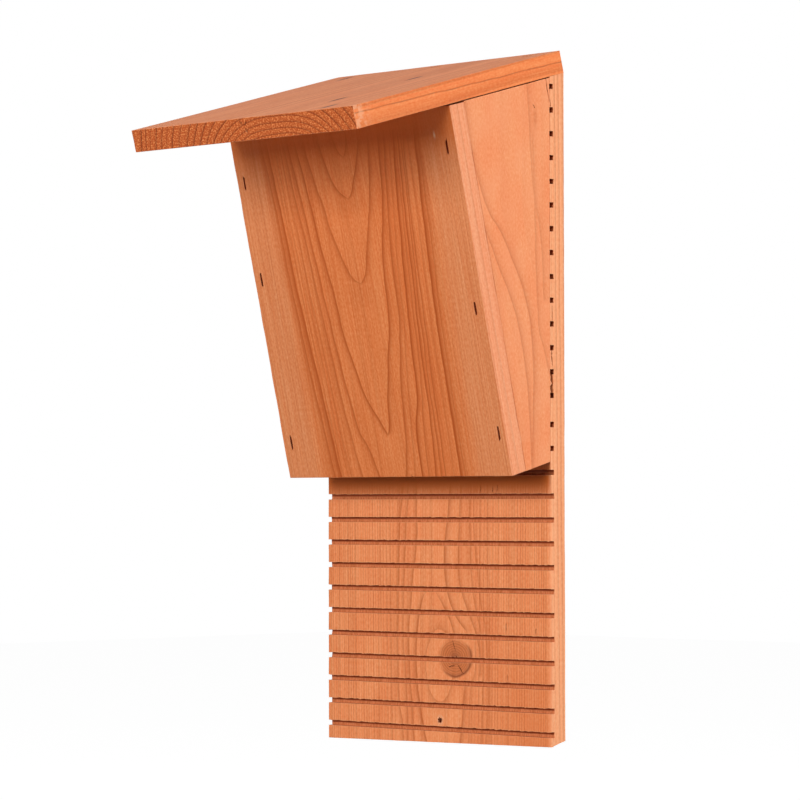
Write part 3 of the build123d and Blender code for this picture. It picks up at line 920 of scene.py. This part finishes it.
def landingGrain(tree, place, colour):
    # Growth lines that bend round a knot, an oval beside it and the knot itself, brown with rings of its
    # own and a dark rim. The wood is richer at the lower right, and a darker tint just under the panel is
    # painted shadow of the panel's bottom edge
    marks, half = landingMarks, backFrame["size"][0] / 2
    ink = grainLines(tree, place, landingLines, marks["lineWeight"], marks["lineSpread"])
    colour = mix(tree, ink, colour, softwood["stain"])
    drift = steps(tree, "SUBTRACT", noise(tree, place, (0.2, 0.2, 0.2), 2.0, 1), (0.5, 0.5, 0.5))[0]
    moved = steps(tree, "ADD", place, steps(tree, "MULTIPLY", drift, (marks["drift"],) * 3)[0])[0]

    oval = ovalReach(tree, moved, marks["oval"])[1]
    fading = calc(tree, "EXPONENT", calc(tree, "MULTIPLY_ADD", oval, -6.0, 6.0))
    oval = times(tree, between(tree, oval, 0.95, 1.0), fading, marks["oval"]["share"])
    colour = mix(tree, oval, colour, softwood["stain"])

    knot = marks["knot"]
    away, reach = ovalReach(tree, moved, knot)
    rings = calc(tree, "POWER", calc(tree, "FRACT", times(tree, reach, knot["rings"])), 2.0)
    brown = mix(tree, rings, knot["wood"], knot["ring"])
    brown = mix(tree, between(tree, reach, 0.55, 0.0, 0.0, 0.8), brown, knot["heart"])
    colour = mix(tree, between(tree, reach, 1.1, 0.75, 0.0, 0.8), colour, brown)
    away = apart(tree, away)
    lowRight = between(tree, calc(tree, "SUBTRACT", away[0], away[1]), -0.5, 0.9, 0.0, 0.8)
    colour = mix(tree, times(tree, ridge(tree, reach, 0.97, 0.08), lowRight), colour, knot["rim"])

    spot = apart(tree, place)
    onFront = between(tree, spot[2], *marks["frontDepth"])
    tintZone = marks["lowRight"]
    share = between(tree, spot[0], *tintZone["across"], 0.0, tintZone["share"])
    share = times(tree, share, between(tree, spot[1], *tintZone["up"]), onFront)
    share = times(tree, share, between(tree, spot[0], half, half - 1.0))
    colour = mix(tree, share, colour, tintZone["tint"])
    # Painted shadow of the panel's bottom edge on the top strip of the landing
    tintZone = marks["underPanel"]
    share = times(tree, between(tree, spot[1], *tintZone["from"]), between(tree, spot[1], *tintZone["to"]))
    share = times(tree, share, between(tree, spot[0], half, half - 2.0), onFront)
    return mix(tree, share, colour, tintZone["tint"])


def drillRim(tree, place, colour):
    # Pale torn fibres round the fixing hole
    rim = landingMarks["drillRim"]
    away = steps(tree, "SUBTRACT", place, (*holePlace, 0.0))[0]
    reach = steps(tree, "LENGTH", steps(tree, "MULTIPLY", away, (1.0, 0.8, 0.0))[0])["Value"]
    torn = between(tree, noise(tree, place, (1.2, 1.2, 1.2), 2.0), 0.4, 0.6)
    near = between(tree, reach, holeRadius + rim["reach"], holeRadius)
    return mix(tree, times(tree, near, torn, rim["share"]), colour, rim["tint"])


# Roof: dark wood round the drying checks and the left back staple, a dark year line along the right edge
roofMarks = {
    "checks": [(38.0, 41.3), (31.8, 110.0), (61.0, 11.0), (-70.0, 157.0)],
    "checkSize": (2.4, 8.0, 30.0), "checkTint": paint(58, 16, 2), "edgeFrom": (85.0, 88.0),
    "edgeLine": {"depth": 4.6, "slope": 0.0123, "wander": 1.6, "width": 0.35, "share": 0.6,
                 "tint": paint(132, 56, 20)},
    "edgeMottle": {"share": 0.3, "tint": paint(226, 112, 50)},
    "wornCorner": {"along": (14.0, 2.0), "share": 0.6, "tint": paint(236, 176, 136)},
}
roofWood = dict(
    softwood, body=paint(224, 138, 88), blush=paint(219, 130, 78), flank=paint(238, 130, 66),
    flankPale=0.8, wear=0.4, endDark=paint(178, 80, 32), endPale=paint(222, 132, 74),
    endLine=paint(108, 38, 8), endRings=2.6, endSharp=2.2,
    years=[
        (20.0, 0.2), (36.0, 0.2), (39.5, 0.25), (42.8, 0.3), (45.8, 0.3), (49.0, 0.3), (52.5, 0.3),
        (56.0, 0.3), (60.2, 0.35), (64.8, 0.3), (69.4, 0.35), (74.4, 0.35),
        *growth(79.2, 5.2, 4.6, 0.4, 5, 165),
    ],
    log={"Heart Across": 28.0, "Heart Depth": -54.0, "Lean": 0.006, "Wander": 4.0, "Squareness": 2.7},
)


def roofGrain(tree, place, colour):
    # The dark marks, and on the right edge the year line, redder mottling and a pale worn front corner
    marks = roofMarks
    for middle in marks["checks"]:
        dark = between(tree, bell(tree, place, (*middle, 0.0), marks["checkSize"]), 0.2, 0.9)
        colour = mix(tree, dark, colour, marks["checkTint"])
    spot, line = apart(tree, place), marks["edgeLine"]
    onEdge = between(tree, spot[0], *marks["edgeFrom"])
    away = calc(tree, "ADD", spot[2], calc(tree, "MULTIPLY_ADD", spot[1], line["slope"], line["depth"]))
    drift = noise(tree, place, (0.03, 0.06, 0.03), 2.0)
    away = calc(tree, "ADD", away, calc(tree, "MULTIPLY_ADD", drift, line["wander"], -line["wander"] / 2))
    share = times(tree, ridge(tree, away, 0.0, line["width"]), onEdge, line["share"])
    colour = mix(tree, share, colour, line["tint"])
    mottle = between(tree, noise(tree, place, (0.2, 0.12, 0.3), 3.0), 0.4, 0.65)
    share = times(tree, mottle, onEdge, marks["edgeMottle"]["share"])
    colour = mix(tree, share, colour, marks["edgeMottle"]["tint"])
    worn = marks["wornCorner"]
    torn = between(tree, noise(tree, place, (0.3, 0.3, 0.3), 2.0), 0.42, 0.6)
    share = times(tree, between(tree, spot[1], *worn["along"]), torn, onEdge, worn["share"])
    return mix(tree, share, colour, worn["tint"])


# Sides: growth lines of the right one, which sweep forward as they climb
sideLines = [
    (0.36, 2.2, [(150, -27.5), (165, -27), (215, -26), (235, -28), (255, -34), (273, -44), (289, -54),
                 (297, -62), (309, -68), (331, -76), (357, -82), (375, -86)]),
    (0.34, 2.2, [(150, -27.6), (165, -28), (195, -30), (219, -34), (245, -42), (267, -54), (285, -64),
                 (310, -80)]),
    (0.2, 2.2, [(150, -34), (173, -38), (220, -49), (273, -62), (300, -70)]),
    (0.26, 2.4, [(250, -17), (289, -20), (309, -25), (361, -30), (385, -32)]),
    (0.26, 1.8, [(207, -12), (215, -14.5), (225, -18), (235, -21.5), (260, -23), (300, -24.5),
                 (350, -26.5)]),
]
sideMarks = {
    "lineWeight": 1.2, "lineSpread": 1.0, "cloudShare": 0.35, "cloud": paint(236, 150, 104),
    "smear": ((-24.0, 353.0, 0.0), (1.6, 6.0, 40.0), 0.3, softwood["stain"]),
}
rightWood = dict(
    softwood, body=paint(236, 150, 100), blush=paint(234, 139, 88), streak=0.0, fine=0.035, fading=2.5,
    years=[
        (28.0, 0.05), (36.0, 0.04), (46.0, 0.04), (55.8, 0.05), (64.0, 0.05), (74.0, 0.05), (80.0, 0.05),
        (90.0, 0.05), (120.0, 0.05),
    ],
    log={
        "Heart Across": -70.0, "Heart Depth": -30.0, "Middle": 250.0, "Reach": 60.0, "Bend": 23.0,
        "Wander": 2.5,
    },
)
leftWood = dict(
    rightWood, years=growth(40, 6.0, 4.0, 0.35, 9, 140),
    log={"Heart Across": 40.0, "Heart Depth": -48.0, "Lean": 0.03, "Middle": 260.0, "Wander": 3.0},
)


def sideGrain(tree, place, colour):
    # Pink clouds, a smear below the nick and the growth lines
    marks = sideMarks
    cloud = between(tree, noise(tree, place, (0.08, 0.05, 0.08), 3.0), 0.4, 0.7)
    colour = mix(tree, times(tree, cloud, marks["cloudShare"]), colour, marks["cloud"])
    colour = patch(tree, place, colour, *marks["smear"])
    ink = grainLines(tree, place, sideLines, marks["lineWeight"], marks["lineSpread"])
    return mix(tree, ink, colour, softwood["stain"])


for piece, board, wood, finish, extras in (
    (panelPiece, panelFrame, panelWood, "frontPanelWood", [panelGrain]),
    (roofPiece, roofFrame, roofWood, "roofWood", [roofGrain]),
    (rightPiece, rightFrame, rightWood, "rightSideWood", [sideGrain]),
    (leftPiece, leftFrame, leftWood, "leftSideWood", []),
    (backPiece, backFrame, landingWood, "backBoardWood", [landingGrain, drillRim]),
):
    piece.data.materials.append(woodMaterial(finish, board, wood, extras))
print("wood materials made")


metals = {
    "stapleWire": {"bright": paint(100, 16, 0), "dull": paint(62, 6, 0), "rough": 0.8, "metallic": 0.0,
                   "gloss": 0.03},
    "zincPlate": {"bright": paint(200, 200, 198), "dull": paint(160, 160, 158), "rough": 0.28,
                  "metallic": 0.9, "gloss": 0.5},
    "zincScrew": {"bright": paint(204, 196, 168), "dull": paint(170, 160, 130), "rough": 0.25,
                  "metallic": 0.9, "gloss": 0.5},
}


def metalMaterial(name):
    # Cloudy metal: two tones and a roughness that follow one soft noise
    look = metals[name]
    material = bpy.data.materials.new(name)
    material.use_nodes = True
    tree = material.node_tree
    shader = tree.nodes["Principled BSDF"]
    place = steps(tree, "DIVIDE", add(tree, "TexCoord").outputs["Object"], (mm, mm, mm))[0]
    cloud = noise(tree, place, (0.5, 0.5, 0.5), 4.0)
    colour = mix(tree, between(tree, cloud, 0.35, 0.7), look["bright"], look["dull"])
    tree.links.new(colour, shader.inputs["Base Color"])
    tree.links.new(calc(tree, "MULTIPLY_ADD", cloud, 0.25, look["rough"]), shader.inputs["Roughness"])
    shader.inputs["Metallic"].default_value = look["metallic"]
    shader.inputs["Specular IOR Level"].default_value = look["gloss"]
    return material


finishes = {name: metalMaterial(name) for name in metals}
for node, thing in frame["nodes"].items():
    if "staples" in node or "hanger" in node:
        finish = {"hanger_plate": "zincPlate", "hanger_screws": "zincScrew"}.get(node, "stapleWire")
        thing.data.materials.clear()
        thing.data.materials.append(finishes[finish])
print("metal materials made")


# Camera at the photo's angle, lengths in mm, angles in degrees
view = {
    "lens": 161.75, "sensor": 36.0, "azimuth": 44.703, "elevation": -1.671, "roll": -0.075,
    "distance": 2131.889, "target": (-41.408, 0.0, 196.98), "clip": (0.1, 50),
}
camera = bpy.data.objects.new("camera", bpy.data.cameras.new("camera"))
bpy.context.scene.collection.objects.link(camera)
camera.data.lens = view["lens"]
camera.data.sensor_width = view["sensor"]
camera.data.clip_start, camera.data.clip_end = view["clip"]
camera.rotation_euler = (radians(90 - view["elevation"]), 0, radians(view["azimuth"]))
turn = camera.rotation_euler.to_matrix() @ Matrix.Rotation(radians(view["roll"]), 3, "Z")
camera.rotation_euler = turn.to_euler()
camera.location = (Vector(view["target"]) + turn.col[2] * view["distance"]) * mm
bpy.context.scene.camera = camera

# Pale floor, white background and soft lights, in metres; a light is (name, place, width, height, power)
studio = {
    "floor": -0.28, "reach": 7.0, "floorColour": (0.3, 0.3, 0.3, 1), "floorRough": 0.9,
    "glowFrom": (1.0, 2.4), "glow": (0.76, 0.97), "ambient": 0.04, "aim": (0, -0.08, 0.2),
    "lights": [
        ("frontBox", (0.1, -2.4, 0.75), 1.8, 1.1, 55), ("rightBox", (2.3, 0.6, 0.6), 1.4, 1.2, 50.5),
        ("topBox", (0.3, -0.6, 2.4), 1.4, 1.4, 12.5), ("leftBox", (-2.2, 1.1, 0.3), 1.4, 0.5, 22),
    ],
}


def seenRay(tree):
    # 1 for rays that show the background: from the camera, off a gloss or through glass
    rays = add(tree, "LightPath").outputs
    past = calc(tree, "MAXIMUM", rays["Is Glossy Ray"], rays["Is Transmission Ray"])
    return calc(tree, "MAXIMUM", rays["Is Camera Ray"], past)


def paleFloor():
    # A flat floor under the hanging box. It glows white to the camera, less so near the box, where its
    # shadow falls
    corners = np.array([(-1, -1, 0), (1, -1, 0), (1, 1, 0), (-1, 1, 0)]) * studio["reach"]
    floor = plainMesh("floor", (corners + (0, 0, studio["floor"])) / mm, [(0, 1, 2, 3)])
    material = bpy.data.materials.new("paleFloor")
    material.use_nodes = True
    tree = material.node_tree
    shader = tree.nodes["Principled BSDF"]
    shader.inputs["Base Color"].default_value = studio["floorColour"]
    shader.inputs["Roughness"].default_value = studio["floorRough"]
    shader.inputs["Specular IOR Level"].default_value = 0.0
    shader.inputs["Emission Color"].default_value = (1, 1, 1, 1)
    far = steps(tree, "LENGTH", add(tree, "TexCoord").outputs["Object"])["Value"]
    glow = between(tree, far, *studio["glowFrom"], *studio["glow"])
    tree.links.new(times(tree, seenRay(tree), glow), shader.inputs["Emission Strength"])
    floor.data.materials.append(material)


def whiteWorld():
    # White where it is seen, and a faint light all round
    world = bpy.data.worlds.new("studio")
    world.use_nodes = True
    bpy.context.scene.world = world
    tree = world.node_tree
    ambient = studio["ambient"]
    tree.nodes["Background"].inputs["Color"].default_value = (1, 1, 1, 1)
    strength = calc(tree, "MULTIPLY_ADD", seenRay(tree), 1.0 - ambient, ambient)
    tree.links.new(strength, tree.nodes["Background"].inputs["Strength"])


def softLight(name, place, width, height, power):
    lamp = bpy.data.lights.new(name, "AREA")
    lamp.shape = "RECTANGLE"
    lamp.size, lamp.size_y, lamp.energy = width, height, power
    thing = bpy.data.objects.new(name, lamp)
    bpy.context.scene.collection.objects.link(thing)
    thing.location = place
    way = Vector(studio["aim"]) - Vector(place)
    thing.rotation_euler = way.to_track_quat("-Z", "Y").to_euler()


paleFloor()
whiteWorld()
for light in studio["lights"]:
    softLight(*light)
print("studio made")

bpy.context.scene.view_settings.view_transform = "Standard"
